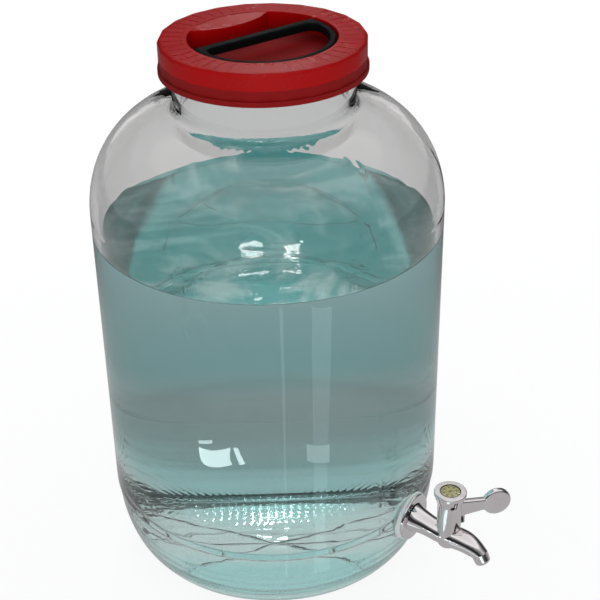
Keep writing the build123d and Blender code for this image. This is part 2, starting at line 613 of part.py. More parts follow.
with BuildPart() as tap_lever:
    paddle_centre = LEVER_REACH - PADDLE_RADIUS
    with BuildSketch(lever_plane()) as blade:
        with BuildLine():
            Polyline(
                (0, LEVER_WEB_BOTTOM - LEVER_MID),
                (LEVER_WEB_REACH, LEVER_WEB_BOTTOM - LEVER_MID),
                (LEVER_WEB_REACH, -LEVER_ROOT_HEIGHT / 2),
                (paddle_centre, -LEVER_WAIST_HEIGHT / 2),
                (paddle_centre, LEVER_WAIST_HEIGHT / 2),
                (0, LEVER_ROOT_HEIGHT / 2),
                close=True,
            )
        make_face()
        with Locations((paddle_centre, 0)):
            Circle(PADDLE_RADIUS)
        fillet(blade.vertices().group_by(Axis.X)[-1], PADDLE_FILLET)
    extrude(amount=LEVER_THICKNESS / 2, both=True)
    fillet(faces().sort_by(SortBy.AREA)[-2:].edges(), LEVER_ROUNDING)
    with BuildSketch(Plane.XZ.offset(WALL_AT_TAP + CHAMBER_REACH)):
        with BuildLine():
            Polyline(
                (0, HUB_BOTTOM),
                (HUB_RADIUS, HUB_BOTTOM),
                (HUB_RADIUS, CAP_TOP - CAP_SIDE - CAP_TAPER),
                (CAP_RADIUS, CAP_TOP - CAP_SIDE),
                (CAP_RADIUS, CAP_TOP),
                (0, CAP_TOP),
                close=True,
            )
        make_face()
    revolve(axis=Axis(valve_plane(0).origin, (0, 0, 1)))
    fillet(edges().filter_by(GeomType.CIRCLE).group_by(Axis.Z)[-1], CAP_ROUNDING)
    with BuildSketch(valve_plane(BUTTON_SEAT)):
        Circle(BUTTON_RADIUS + BUTTON_GAP)
    extrude(amount=CAP_TOP - BUTTON_SEAT, mode=Mode.SUBTRACT)
    with BuildSketch(valve_plane(HUB_BOTTOM)):
        Circle(HUB_RADIUS - HUB_WALL)
    extrude(amount=BUTTON_SEAT - HUB_WEB - HUB_BOTTOM, mode=Mode.SUBTRACT)
    with BuildSketch(valve_plane(HUB_BOTTOM)):
        Circle(STEM_RADIUS + STEM_FIT)
    extrude(amount=STEM_TOP + STEM_TOP_GAP - HUB_BOTTOM, mode=Mode.SUBTRACT)
    with BuildSketch(screw_plane(0)):
        Circle(SCREW_RADIUS + SCREW_GAP)
    extrude(amount=CAP_RADIUS, mode=Mode.SUBTRACT)

with BuildPart() as lever_screw:
    with BuildSketch(screw_plane(SCREW_INNER)):
        Circle(SCREW_RADIUS)
    extrude(amount=SCREW_LENGTH)
    with BuildSketch(screw_plane(SCREW_INNER + SCREW_LENGTH - SCREW_SOCKET_DEPTH)):
        RegularPolygon(SCREW_SOCKET, 6)
    extrude(amount=SCREW_SOCKET_DEPTH, mode=Mode.SUBTRACT)

with BuildPart() as index_button:
    with BuildSketch(valve_plane(BUTTON_SEAT)):
        Circle(BUTTON_RADIUS)
    extrude(amount=BUTTON_THICKNESS)
    fillet(edges().group_by(Axis.Z)[-1], BUTTON_ROUNDING)

# ================================================================ export
PIECES = {
    "jar": jar,
    "water": water,
    "lid": lid,
    "lid_seal": lid_seal,
    "lid_handle": lid_handle,
    "tap_body": tap_body,
    "tap_outer_gasket": tap_outer_gasket,
    "tap_inner_gasket": tap_inner_gasket,
    "tap_slip_washer": tap_slip_washer,
    "tap_back_nut": tap_back_nut,
    "valve_plug": valve_plug,
    "plug_seal_lower": plug_seals[0],
    "plug_seal_upper": plug_seals[1],
    "tap_gland": tap_gland,
    "tap_lever": tap_lever,
    "lever_screw": lever_screw,
    "index_button": index_button,
}

os.makedirs("parts", exist_ok=True)
for name, piece in PIECES.items():
    piece.part.label = name
    export_step(piece.part, f"parts/{name}.step")
    print(f"{name}: {piece.part.volume:.0f} cubic mm")
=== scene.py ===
import logging
from collections.abc import Sequence
from dataclasses import dataclass, field
from enum import Enum
from math import cos, pi, radians, sin, sqrt

import bpy
from mathutils import Matrix, Vector


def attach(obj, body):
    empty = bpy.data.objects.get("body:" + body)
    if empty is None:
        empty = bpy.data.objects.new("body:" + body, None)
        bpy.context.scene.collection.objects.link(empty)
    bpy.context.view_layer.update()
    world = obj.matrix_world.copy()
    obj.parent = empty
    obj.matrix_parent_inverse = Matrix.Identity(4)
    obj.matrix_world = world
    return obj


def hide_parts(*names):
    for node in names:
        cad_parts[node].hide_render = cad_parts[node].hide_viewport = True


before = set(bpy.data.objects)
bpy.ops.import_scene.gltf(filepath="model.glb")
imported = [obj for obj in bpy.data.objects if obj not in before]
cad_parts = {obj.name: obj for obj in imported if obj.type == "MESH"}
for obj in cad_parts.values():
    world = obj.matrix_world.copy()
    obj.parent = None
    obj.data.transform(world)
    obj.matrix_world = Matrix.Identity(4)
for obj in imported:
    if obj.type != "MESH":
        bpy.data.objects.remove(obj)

log = logging.getLogger("carboy")
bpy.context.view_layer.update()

Colour = tuple[float, float, float]
Place = tuple[float, float, float]


class Body(Enum):
    """The moving bodies that a piece can ride on."""

    VESSEL = "vessel"
    SEAL_RING = "seal_ring"
    SCREW_LID = "screw_lid"
    CARRYING_RING = "carrying_ring"
    TAP_VALVE = "tap_valve"


class Slot(Enum):
    """Names of the material slots for the pieces' finishes; nothing here reads them."""

    CLEAR_GLASS = "clear_glass"
    WATER = "water"
    LID_RED = "lid_red"
    HANDLE_BLACK = "handle_black"
    WHITE_RUBBER = "white_rubber"
    WASHER_WHITE = "washer_white"
    PLATED = "plated"
    PLUG_BRASS = "plug_brass"
    SEAL_BLACK = "seal_black"
    SCREW_DARK = "screw_dark"
    BUTTON_YELLOW = "button_yellow"


# ---------------------------------------------------------------- workshop helpers


def clear_selection() -> None:
    """Leave edit mode and deselect every object."""
    if bpy.context.object is not None and bpy.context.object.mode != "OBJECT":
        bpy.ops.object.mode_set(mode="OBJECT")
    bpy.ops.object.select_all(action="DESELECT")


def pick(piece: bpy.types.Object) -> None:
    """Select one object alone and make it active.

    Args:
        piece: The object to work on.
    """
    clear_selection()
    piece.select_set(True)
    bpy.context.view_layer.objects.active = piece


def apply_modifiers(piece: bpy.types.Object) -> None:
    """Apply every modifier of a piece, in order.

    Args:
        piece: The object whose modifiers are applied.
    """
    pick(piece)
    for modifier in list(piece.modifiers):
        bpy.ops.object.modifier_apply(modifier=modifier.name)


def tidy_shell(threshold: float = 1e-6) -> None:
    """Merge doubles and point all faces of the mesh in edit mode outwards.

    Args:
        threshold: Distance under which two points are one, in metres.
    """
    bpy.ops.mesh.select_all(action="SELECT")
    bpy.ops.mesh.remove_doubles(threshold=threshold)
    bpy.ops.mesh.normals_make_consistent(inside=False)


def lathe(name: str, outline: Sequence[tuple[float, float]], steps: int) -> bpy.types.Object:
    """Trace an outline with extruded points and spin it round the jar's axis.

    Args:
        name: Name of the new object.
        outline: Points as (radius, height), in metres, from one end to the other.
        steps: Number of segments in the full turn.

    Returns:
        The new object, at the origin, with its faces pointing outwards.
    """
    clear_selection()
    bpy.ops.mesh.primitive_plane_add(size=0.01, location=(0, 0, 0))
    piece = bpy.context.object
    piece.name = name
    piece.data.name = name
    bpy.ops.object.mode_set(mode="EDIT")
    bpy.ops.mesh.select_all(action="SELECT")
    bpy.ops.mesh.merge(type="CENTER")
    bpy.ops.transform.translate(value=(outline[0][0], 0, outline[0][1]))
    for (radius, height), (next_radius, next_height) in zip(outline, outline[1:]):
        bpy.ops.mesh.extrude_vertices_move(
            TRANSFORM_OT_translate={"value": (next_radius - radius, 0, next_height - height)}
        )
    bpy.ops.mesh.select_all(action="SELECT")
    bpy.ops.mesh.spin(steps=steps, angle=2 * pi, center=(0, 0, 0), axis=(0, 0, 1))
    tidy_shell()
    bpy.ops.object.mode_set(mode="OBJECT")
    return piece


def place_mesh(piece: bpy.types.Object, place: Place) -> None:
    """Move a piece's mesh to its place and leave its object at the origin.

    Args:
        piece: The object whose mesh is moved.
        place: Where the mesh's own origin goes.
    """
    pick(piece)
    bpy.ops.transform.translate(value=place)
    bpy.ops.object.transform_apply(location=True, rotation=True, scale=True)


def smooth(piece: bpy.types.Object, angle: float = 35) -> None:
    """Shade a piece smooth below an edge angle.

    Args:
        piece: The object to shade.
        angle: Edges sharper than this stay crisp, in degrees.
    """
    pick(piece)
    bpy.ops.object.shade_smooth_by_angle(angle=radians(angle))


def fit_piece(
    piece: bpy.types.Object,
    material: bpy.types.Material,
    body: Body,
    slot: Slot,
    stands_for: Sequence[str] = (),
) -> None:
    """Dress a new piece and hang it on its body.

    Args:
        piece: The finished object.
        material: Its finish.
        body: The body that it rides on.
        slot: The slot named for its finish; not used.
        stands_for: CAD nodes that it replaces.
    """
    if not piece.data.materials:
        piece.data.materials.append(material)
    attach(piece, body.value)
    if stands_for:
        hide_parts(*stands_for)
    log.info("%s rides on %s", piece.name, body.value)


def dress(node: str, material: bpy.types.Material) -> None:
    """Give a CAD node its finish.

    Args:
        node: Name of the node.
        material: Its finish.
    """
    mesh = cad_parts[node].data
    if mesh.materials:
        for index in range(len(mesh.materials)):
            mesh.materials[index] = material
    else:
        mesh.materials.append(material)
    log.info("%s is dressed as %s", node, material.name)


# ---------------------------------------------------------------- shared shader groups


@dataclass(frozen=True)
class Weave:
    """Adds linked nodes to one node tree."""

    tree: bpy.types.NodeTree

    def add(
        self, kind: str, inputs: dict[str | int, object] | None = None, **settings: object
    ) -> bpy.types.Node:
        """Add a node, set its properties, then fill its inputs.

        Args:
            kind: Blender's name of the node's type, without its prefix.
            inputs: Numbers, tuples or sockets by the names of the node's inputs.
            settings: The node's own properties.

        Returns:
            The node.
        """
        node = self.tree.nodes.new(f"ShaderNode{kind}")
        for name, value in settings.items():
            setattr(node, name, value)
        for key, value in (inputs or {}).items():
            self.fill(node.inputs[key], value)
        return node

    def fill(self, socket: bpy.types.NodeSocket, value: object) -> None:
        """Link a socket to another, or give it a plain value.

        Args:
            socket: The input to fill.
            value: A socket, a number or a tuple.
        """
        if isinstance(value, bpy.types.NodeSocket):
            self.tree.links.new(value, socket)
        elif isinstance(value, tuple) and socket.type == "RGBA":
            socket.default_value = (*value, 1)
        else:
            socket.default_value = value

    def math(self, operation: str, *values: object) -> bpy.types.NodeSocket:
        """Add a maths node.

        Args:
            operation: Blender's name of the operation.
            values: Sockets or numbers for its inputs.

        Returns:
            The node's output.
        """
        return self.add("Math", dict(enumerate(values)), operation=operation).outputs[0]

    def place(self) -> bpy.types.NodeSocket:
        """Return a point's place in its object's own coordinates."""
        return self.add("TexCoord").outputs["Object"]

    def noise(
        self, place: bpy.types.NodeSocket, scale: object, detail: float, **inputs: float
    ) -> bpy.types.NodeSocket:
        """Add a noise texture.

        Args:
            place: Where the noise is read.
            scale: Its scale, as a number or a socket.
            detail: Its octaves.
            inputs: Its other inputs.

        Returns:
            The noise, about 0.5.
        """
        values = {"Vector": place, "Scale": scale, "Detail": detail, **inputs}
        return self.add("TexNoise", values).outputs["Fac"]

    def spread(
        self, value: bpy.types.NodeSocket, low: object, high: object, to_low: object = 0.0,
        to_high: object = 1.0, soft: bool = False,
    ) -> bpy.types.NodeSocket:
        """Stretch a value from one range to another.

        Args:
            value: The value.
            low: Start of its range.
            high: End of its range.
            to_low: What the start becomes.
            to_high: What the end becomes.
            soft: Whether the ends ease in and out.

        Returns:
            The stretched value, held inside its new range.
        """
        limits = {"From Min": low, "From Max": high, "To Min": to_low, "To Max": to_high}
        return self.add(
            "MapRange", {"Value": value, **limits}, interpolation_type="SMOOTHSTEP" if soft else "LINEAR"
        ).outputs["Result"]

    def mix(
        self, share: object, first: object, second: object, kind: str = "RGBA"
    ) -> bpy.types.NodeSocket:
        """Blend two colours or two numbers.

        Args:
            share: How much of the second is in the blend.
            first: The first.
            second: The second.
            kind: RGBA for colours, FLOAT for numbers.

        Returns:
            The blend.
        """
        values = {"Factor": share, "A": first, "B": second}
        return self.add("Mix", values, data_type=kind).outputs["Result"]

    def ramp(
        self, value: bpy.types.NodeSocket, stops: Sequence[tuple[float, float]]
    ) -> bpy.types.NodeSocket:
        """Turn a value into a grey.

        Args:
            value: The value.
            stops: Positions with their greys.

        Returns:
            The grey, as a colour.
        """
        node = self.add("ValToRGB", {"Fac": value})
        elements = node.color_ramp.elements
        for index, (position, grey) in enumerate(stops):
            stop = elements[index] if index < 2 else elements.new(position)
            stop.position = position
            stop.color = (grey, grey, grey, 1)
        return node.outputs["Color"]

    def mirrored_only(self) -> bpy.types.NodeSocket:
        """Return a mask that is 1 for mirrored rays alone, not for refracted ones."""
        path = self.add("LightPath").outputs
        values = {0: path["Is Glossy Ray"], 1: path["Is Transmission Ray"]}
        return self.add("Math", values, operation="SUBTRACT", use_clamp=True).outputs[0]

    def seen_by(self, *kinds: str) -> bpy.types.NodeSocket:
        """Return a mask that is 1 for some kinds of ray.

        Args:
            kinds: Outputs of the Light Path node.

        Returns:
            The largest of those outputs.
        """
        path = self.add("LightPath").outputs
        result = path[kinds[0]]
        for kind in kinds[1:]:
            result = self.math("MAXIMUM", result, path[kind])
        return result


class ShaderGroups:
    """Builds each shared node group once and places it in materials."""

    def __init__(self) -> None:
        """Start with no groups built."""
        self._built: dict[str, bpy.types.NodeTree] = {}

    def _new(
        self, name: str, inputs: dict[str, float | Colour], outputs: dict[str, str]
    ) -> tuple[bpy.types.NodeTree, bpy.types.Node, bpy.types.Node]:
        """Make an empty group with its sockets.

        Args:
            name: Name of the group.
            inputs: Socket names with their defaults; a tuple makes a colour socket.
            outputs: Socket names with their kinds.

        Returns:
            The group, its input node and its output node.
        """
        tree = bpy.data.node_groups.new(name, "ShaderNodeTree")
        for label, default in inputs.items():
            kind = "NodeSocketColor" if isinstance(default, tuple) else "NodeSocketFloat"
            socket = tree.interface.new_socket(name=label, in_out="INPUT", socket_type=kind)
            socket.default_value = (*default, 1) if isinstance(default, tuple) else default
        for label, kind in outputs.items():
            tree.interface.new_socket(name=label, in_out="OUTPUT", socket_type=kind)
        self._built[name] = tree
        return tree, tree.nodes.new("NodeGroupInput"), tree.nodes.new("NodeGroupOutput")

    def two_tone(self) -> bpy.types.NodeTree:
        """Return the group that clouds one colour into another, with a mask."""
        if "two_tone" in self._built:
            return self._built["two_tone"]
        tree, entry, leave = self._new(
            "two_tone",
            {"Colour": (0.5, 0.5, 0.5), "Cloud": (0.4, 0.4, 0.4), "Scale": 20.0, "Contrast": 0.3},
            {"Colour": "NodeSocketColor", "Mask": "NodeSocketFloat"},
        )
        weave, given = Weave(tree), entry.outputs
        noise = weave.noise(weave.place(), given["Scale"], 6, Roughness=0.62)
        low = weave.math("SUBTRACT", 0.5, given["Contrast"])
        high = weave.math("ADD", 0.5, given["Contrast"])
        mask = weave.spread(noise, low, high)
        weave.fill(leave.inputs["Colour"], weave.mix(mask, given["Colour"], given["Cloud"]))
        weave.fill(leave.inputs["Mask"], mask)
        return tree

    def handled_gloss(self) -> bpy.types.NodeTree:
        """Return the group for roughness with smears and fine scratches."""
        if "handled_gloss" in self._built:
            return self._built["handled_gloss"]
        tree, entry, leave = self._new(
            "handled_gloss",
            {"Clean": 0.2, "Smeared": 0.35, "Scale": 30.0, "Scratches": 0.05},
            {"Roughness": "NodeSocketFloat", "Scratch": "NodeSocketFloat"},
        )
        weave, given = Weave(tree), entry.outputs
        place = weave.place()
        smear = weave.noise(place, given["Scale"], 8, Distortion=0.8)
        drawn = {"Vector": place, "Scale": (1.0, 9.0, 1.4), "Rotation": (0.3, 0.5, 0.9)}
        line = weave.noise(weave.add("Mapping", drawn).outputs["Vector"], 160, 3)
        scratch = weave.spread(line, 0.62, 0.75)
        rough = weave.spread(smear, 0.35, 0.7, given["Clean"], given["Smeared"])
        rough = weave.math("MULTIPLY_ADD", scratch, given["Scratches"], rough)
        weave.fill(leave.inputs["Roughness"], rough)
        weave.fill(leave.inputs["Scratch"], scratch)
        return tree

    def shaded_matt_pit(self) -> bpy.types.NodeTree:
        """Return the group that darkens a sunk floor with painted shade and makes it duller than the
        rest.
        """
        if "shaded_matt_pit" in self._built:
            return self._built["shaded_matt_pit"]
        tree, entry, leave = self._new(
            "shaded_matt_pit",
            {"Colour": (0.5, 0.5, 0.5), "Roughness": 0.3, "Level": -1.0, "Share": 0.6},
            {"Colour": "NodeSocketColor", "Roughness": "NodeSocketFloat"},
        )
        weave, given = Weave(tree), entry.outputs
        split = weave.add("SeparateXYZ", {0: weave.place()}).outputs
        below = weave.math("LESS_THAN", split["Z"], given["Level"])
        # Below the level the colour is scaled down: painted shade on the sunk floor.
        shade = weave.mix(below, 1.0, given["Share"], "FLOAT")
        tint = weave.add("VectorMath", {0: given["Colour"], "Scale": shade}, operation="SCALE")
        weave.fill(leave.inputs["Colour"], tint.outputs["Vector"])
        weave.fill(leave.inputs["Roughness"], weave.mix(below, given["Roughness"], 0.72, "FLOAT"))
        return tree

    def level_tint(self) -> bpy.types.NodeTree:
        """Return the group that blends three colours up the jar; a pale lowest colour paints light on
        the lower part.
        """
        if "level_tint" in self._built:
            return self._built["level_tint"]
        tree, entry, leave = self._new(
            "level_tint",
            {
                "Bottom": (0.8, 0.9, 0.9), "Middle": (0.6, 0.7, 0.7), "Top": (0.6, 0.7, 0.7),
                "Low": 0.09, "Step": 0.04, "High": 0.25,
            },
            {"Colour": "NodeSocketColor"},
        )
        weave, given = Weave(tree), entry.outputs
        place = weave.place()
        height = weave.add("SeparateXYZ", {0: place}).outputs["Z"]
        level = weave.math("MULTIPLY_ADD", weave.noise(place, 9, 2), 0.012, height)
        edge = weave.math("ADD", given["Low"], given["Step"])
        lower = weave.spread(level, given["Low"], edge, soft=True)
        upper = weave.spread(level, edge, given["High"], soft=True)
        first = weave.mix(lower, given["Bottom"], given["Middle"])
        weave.fill(leave.inputs["Colour"], weave.mix(upper, first, given["Top"]))
        return tree

    def glint_swirl_tint(self) -> bpy.types.NodeTree:
        """Return the group that swirls a pale colour, painted highlights, through a deep one."""
        if "glint_swirl_tint" in self._built:
            return self._built["glint_swirl_tint"]
        tree, entry, leave = self._new(
            "glint_swirl_tint",
            {"Deep": (0.1, 0.5, 0.5), "Pale": (0.4, 0.8, 0.8), "Scale": 9.0},
            {"Colour": "NodeSocketColor"},
        )
        weave, given = Weave(tree), entry.outputs
        noise = weave.noise(weave.place(), given["Scale"], 4, Roughness=0.55, Distortion=2.2)
        swirl = weave.spread(noise, 0.44, 0.66, soft=True)
        weave.fill(leave.inputs["Colour"], weave.mix(swirl, given["Deep"], given["Pale"]))
        return tree

    def skin_relief(self) -> bpy.types.NodeTree:
        """Return the group for the fine relief of moulded, cast or rubbed skins."""
        if "skin_relief" in self._built:
            return self._built["skin_relief"]
        tree, entry, leave = self._new(
            "skin_relief",
            {"Wave Scale": 25.0, "Wave": 0.0001, "Grain Scale": 900.0, "Grain": 0.00001},
            {"Height": "NodeSocketFloat"},
        )
        weave, given = Weave(tree), entry.outputs
        place = weave.place()
        wave = weave.math("MULTIPLY", weave.noise(place, given["Wave Scale"], 1.5), given["Wave"])
        grain = weave.noise(place, given["Grain Scale"], 3)
        weave.fill(leave.inputs["Height"], weave.math("MULTIPLY_ADD", grain, given["Grain"], wave))
        return tree

    def blown_glass(self) -> bpy.types.NodeTree:
        """Return the group for the jar's relief: waves, mould seams, knurled foot and creases."""
        if "blown_glass" in self._built:
            return self._built["blown_glass"]
        tree, entry, leave = self._new(
            "blown_glass",
            {"Wave": 0.0012, "Seam": 0.00006, "Knurl": 0.00016, "Crease": 0.00045, "Settle": 0.00001},
            {"Height": "NodeSocketFloat"},
        )
        weave, given = Weave(tree), entry.outputs
        math = weave.math
        place = weave.place()
        split = weave.add("SeparateXYZ", {0: place}).outputs
        x, y, z = split["X"], split["Y"], split["Z"]
        radius = math("SQRT", math("ADD", math("MULTIPLY", x, x), math("MULTIPLY", y, y)))

        squash = weave.add("Mapping", {"Vector": place, "Scale": (1.0, 1.0, 0.35)}).outputs["Vector"]
        height = math("MULTIPLY", weave.noise(squash, 11, 1), given["Wave"])

        seam = self._fold(weave, self._off_plane(weave, x, y, SEAM_AZIMUTH), SEAM_WIDTH, 0.5)
        wall = math("GREATER_THAN", radius, NECK_SIDE)
        wall = math("MULTIPLY", wall, math("GREATER_THAN", z, SEAM_FOOT))
        height = math("ADD", height, math("MULTIPLY", math("MULTIPLY", seam, wall), given["Seam"]))

        turn = math("MULTIPLY", math("ARCTAN2", y, x), KNURLS)
        bar = math("MULTIPLY", math("ADD", math("SINE", turn), 1), 0.5)
        row = math("SINE", math("MULTIPLY", z, 2 * pi / KNURL_PITCH))
        row = math("MULTIPLY", math("ADD", row, 1), 0.5)
        heel = weave.spread(z, *KNURL_FADE, soft=True)
        heel = math("MULTIPLY", heel, math("GREATER_THAN", radius, HEEL_KNURL_RADIUS))
        beads = math("MULTIPLY", math("MULTIPLY", bar, row), heel)
        height = math("ADD", height, math("MULTIPLY", beads, given["Knurl"]))

        settle = math("SINE", math("MULTIPLY", z, 2 * pi / SETTLE_PITCH))
        settle = math("MULTIPLY", settle, math("LESS_THAN", z, SETTLE_TOP))
        height = math("ADD", height, math("MULTIPLY", settle, given["Settle"]))

        stray = math("MULTIPLY", math("SUBTRACT", weave.noise(place, 38, 3), 0.5), CREASE_STRAY)
        base = math("MULTIPLY", math("LESS_THAN", z, BASE_TOP), math("LESS_THAN", radius, BASE_RADIUS))
        ring = math("ADD", math("SUBTRACT", radius, CREASE_RING), math("MULTIPLY", stray, 0.3))
        lines = [
            (math("ADD", self._off_plane(weave, x, y, bearing), stray), CREASE_WIDTH)
            for bearing in CREASE_AZIMUTHS
        ]
        for gap, width in (*lines, (ring, CREASE_RING_WIDTH)):
            fold = math("MULTIPLY", self._fold(weave, gap, width, 0.3), base)
            height = math("ADD", height, math("MULTIPLY", fold, given["Crease"]))
        weave.fill(leave.inputs["Height"], height)
        return tree

    @staticmethod
    def _off_plane(
        weave: Weave, x: bpy.types.NodeSocket, y: bpy.types.NodeSocket, azimuth: float
    ) -> bpy.types.NodeSocket:
        """Measure how far a point lies from an upright plane through the axis.

        Args:
            weave: The tree that the nodes go to.
            x: The point's x.
            y: The point's y.
            azimuth: Bearing of the plane, in degrees.

        Returns:
            The signed distance.
        """
        angle = radians(azimuth)
        return weave.math(
            "ADD", weave.math("MULTIPLY", x, -sin(angle)), weave.math("MULTIPLY", y, cos(angle))
        )

    @staticmethod
    def _fold(
        weave: Weave, gap: bpy.types.NodeSocket, width: float, ease: float
    ) -> bpy.types.NodeSocket:
        """Raise a rounded ridge where a distance is nothing.

        Args:
            weave: The tree that the nodes go to.
            gap: The signed distance from the ridge's crest.
            width: Half of the ridge's width, in metres.
            ease: How softly the ridge runs out.

        Returns:
            1 on the crest and 0 past the width.
        """
        run = weave.math("DIVIDE", weave.math("ABSOLUTE", gap), width)
        return weave.math("SUBTRACT", 1, weave.math("SMOOTH_MIN", run, 1.0, ease))


# Bearings are in degrees and lengths in metres.
SEAM_AZIMUTH = 74.0
SEAM_WIDTH = 0.0035
SEAM_FOOT = 0.03
NECK_SIDE = 0.072
CREASE_AZIMUTHS = (-54.5, -17.5, 88.5)
CREASE_WIDTH = 0.0013
CREASE_STRAY = 0.014
CREASE_RING = 0.084
CREASE_RING_WIDTH = 0.0016
BASE_TOP = 0.007
BASE_RADIUS = 0.092
KNURLS = 220
KNURL_PITCH = 0.0085
KNURL_FADE = (0.052, 0.038)
HEEL_KNURL_RADIUS = 0.107
SETTLE_PITCH = 0.013
SETTLE_TOP = 0.11
GROUPS = ShaderGroups()


@dataclass
class Recipe:
    """A material under construction, built round one Principled shader."""

    name: str
    material: bpy.types.Material = field(init=False)
    shader: bpy.types.Node = field(init=False)

    def __post_init__(self) -> None:
        """Make the material with one Principled shader."""
        self.material = bpy.data.materials.new(self.name)
        self.material.use_nodes = True
        self.shader = self.material.node_tree.nodes["Principled BSDF"]

    @property
    def weave(self) -> Weave:
        """The helper that adds nodes to the material."""
        return Weave(self.material.node_tree)

    def set(self, **values: float | Colour) -> None:
        """Set plain values on the shader's sockets.

        Args:
            values: Socket names, with underscores for spaces.
        """
        for label, value in values.items():
            self.weave.fill(self.shader.inputs[label.replace("_", " ")], value)

    def group(self, tree: bpy.types.NodeTree, **values: object) -> bpy.types.bpy_prop_collection:
        """Place a shared group with its own values.

        Args:
            tree: The group.
            values: Its inputs, as numbers, colours or sockets, with underscores for spaces.

        Returns:
            The group's outputs.
        """
        node = self.weave.add("Group", node_tree=tree)
        for label, value in values.items():
            self.weave.fill(node.inputs[label.replace("_", " ")], value)
        return node.outputs

    def feed(self, source: bpy.types.NodeSocket, target: str) -> None:
        """Link a socket to one of the shader's inputs.

        Args:
            source: The socket that sends the value.
            target: Name of the shader's input.
        """
        self.weave.fill(self.shader.inputs[target], source)

    def relief(self, height: bpy.types.NodeSocket) -> None:
        """Drive the shader's normal from a height in metres.

        Args:
            height: The height.
        """
        bump = self.weave.add("Bump", {"Strength": 1.0, "Distance": 1.0, "Height": height})
        self.feed(bump.outputs["Normal"], "Normal")

    def let_light_through(self, share: Colour) -> None:
        """Let shadow rays pass, tinted, as light does through clear walls.

        Args:
            share: The part of the light that passes one surface.
        """
        path = self.weave.add("LightPath").outputs
        clear = self.weave.add("BsdfTransparent", {"Color": share}).outputs["BSDF"]
        mix = self.weave.add(
            "MixShader", {"Fac": path["Is Shadow Ray"], 1: self.shader.outputs["BSDF"], 2: clear}
        )
        output = self.material.node_tree.nodes["Material Output"]
        self.weave.fill(output.inputs["Surface"], mix.outputs["Shader"])


# ---------------------------------------------------------------- finishes


@dataclass(frozen=True)
class ClearGlass:
    """Blown soda-lime glass with its waves, seams and knurled foot."""

    # The grey of this tint is partly the glass's own cast and partly painted shade for the grey
    # surroundings seen through it.
    tint: Colour = (0.885, 0.875, 0.872)
    # The foot's green is the thick glass's own cast; its lightness is painted light on the lower part.
    thick_and_lit_tint: Colour = (0.90, 0.925, 0.92)
    ior: float = 1.51

    def build(self) -> bpy.types.Material:
        """Return the glass material."""
        recipe = Recipe("clear_glass")
        recipe.set(Transmission_Weight=1.0, Roughness=0.0, IOR=self.ior, Metallic=0.0)
        tint = recipe.group(
            GROUPS.level_tint(), Bottom=self.thick_and_lit_tint, Middle=self.tint, Top=self.tint,
            Low=0.010, Step=0.05, High=0.30,
        )
        recipe.feed(tint["Colour"], "Base Color")
        recipe.relief(recipe.group(GROUPS.blown_glass())["Height"])
        recipe.let_light_through((0.93, 0.95, 0.94))
        return recipe.material


@dataclass(frozen=True)
class WaterSide:
    """The water's sides and base: painted light keeps the base pale, and the green cast is deepest in
    the middle and paler again at the top.
    """

    # Painted light: the water's lower part is given a pale colour.
    lit_bottom: Colour = (0.84, 0.97, 0.96)
    middle: Colour = (0.35, 0.86, 0.865)
    top: Colour = (0.56, 0.86, 0.88)
    low: float = 0.085
    step: float = 0.05
    high: float = 0.24

    def build(self) -> bpy.types.Material:
        """Return the material of the water's sides."""
        recipe = Recipe("water_side")
        recipe.set(Transmission_Weight=1.0, Roughness=0.0, IOR=1.333, Metallic=0.0)
        tint = recipe.group(
            GROUPS.level_tint(), Bottom=self.lit_bottom, Middle=self.middle, Top=self.top,
            Low=self.low, Step=self.step, High=self.high,
        )
        recipe.feed(tint["Colour"], "Base Color")
        recipe.let_light_through((0.93, 0.97, 0.965))
        return recipe.material


@dataclass(frozen=True)
class WaterSurface:
    """The water's top, gently rippled, with paler swirls of painted highlights in a deeper tone."""

    deep: Colour = (0.035, 0.42, 0.41)
    # The pale swirls are painted highlights and reflections on the water's top.
    pale: Colour = (0.42, 0.86, 0.84)
    swirl: float = 9.0
    ripple: float = 0.0008
    clear: float = 0.87

    def build(self) -> bpy.types.Material:
        """Return the material of the water's top."""
        recipe = Recipe("water_surface")
        recipe.set(Transmission_Weight=self.clear, Roughness=0.0, IOR=1.333, Metallic=0.0)
        tint = recipe.group(GROUPS.glint_swirl_tint(), Deep=self.deep, Pale=self.pale, Scale=self.swirl)
        recipe.feed(tint["Colour"], "Base Color")
        relief = recipe.group(
            GROUPS.skin_relief(), Wave_Scale=16.0, Wave=self.ripple, Grain_Scale=60.0,
            Grain=self.ripple * 0.12,
        )
        recipe.relief(relief["Height"])
        recipe.let_light_through((0.93, 0.97, 0.965))
        return recipe.material


@dataclass(frozen=True)
class MouldedPlastic:
    """Injection-moulded plastic with clouding, handling marks and a fine skin."""

    name: str
    colour: Colour
    cloud: Colour
    clean: float
    smeared: float
    gloss: float = 0.5
    scratch: float = 0.05
    wave: float = 0.00006
    grain: float = 0.000006
    shaded_below: float = -1.0
    shade_share: float = 0.6

    def build(self) -> bpy.types.Material:
        """Return the plastic material."""
        recipe = Recipe(self.name)
        recipe.set(Metallic=0.0, IOR=1.49, Specular_IOR_Level=self.gloss)
        tone = recipe.group(
            GROUPS.two_tone(), Colour=self.colour, Cloud=self.cloud, Scale=34.0, Contrast=0.22
        )
        gloss = recipe.group(
            GROUPS.handled_gloss(), Clean=self.clean, Smeared=self.smeared, Scale=42.0,
            Scratches=self.scratch,
        )
        relief = recipe.group(
            GROUPS.skin_relief(), Wave_Scale=45.0, Wave=self.wave, Grain_Scale=1400.0,
            Grain=self.grain,
        )
        # Painted shade: below the given level the colour is darkened, and the roughness is raised.
        pit = recipe.group(
            GROUPS.shaded_matt_pit(), Colour=tone["Colour"], Roughness=gloss["Roughness"],
            Level=self.shaded_below, Share=self.shade_share,
        )
        recipe.feed(pit["Colour"], "Base Color")
        recipe.feed(pit["Roughness"], "Roughness")
        recipe.relief(relief["Height"])
        return recipe.material


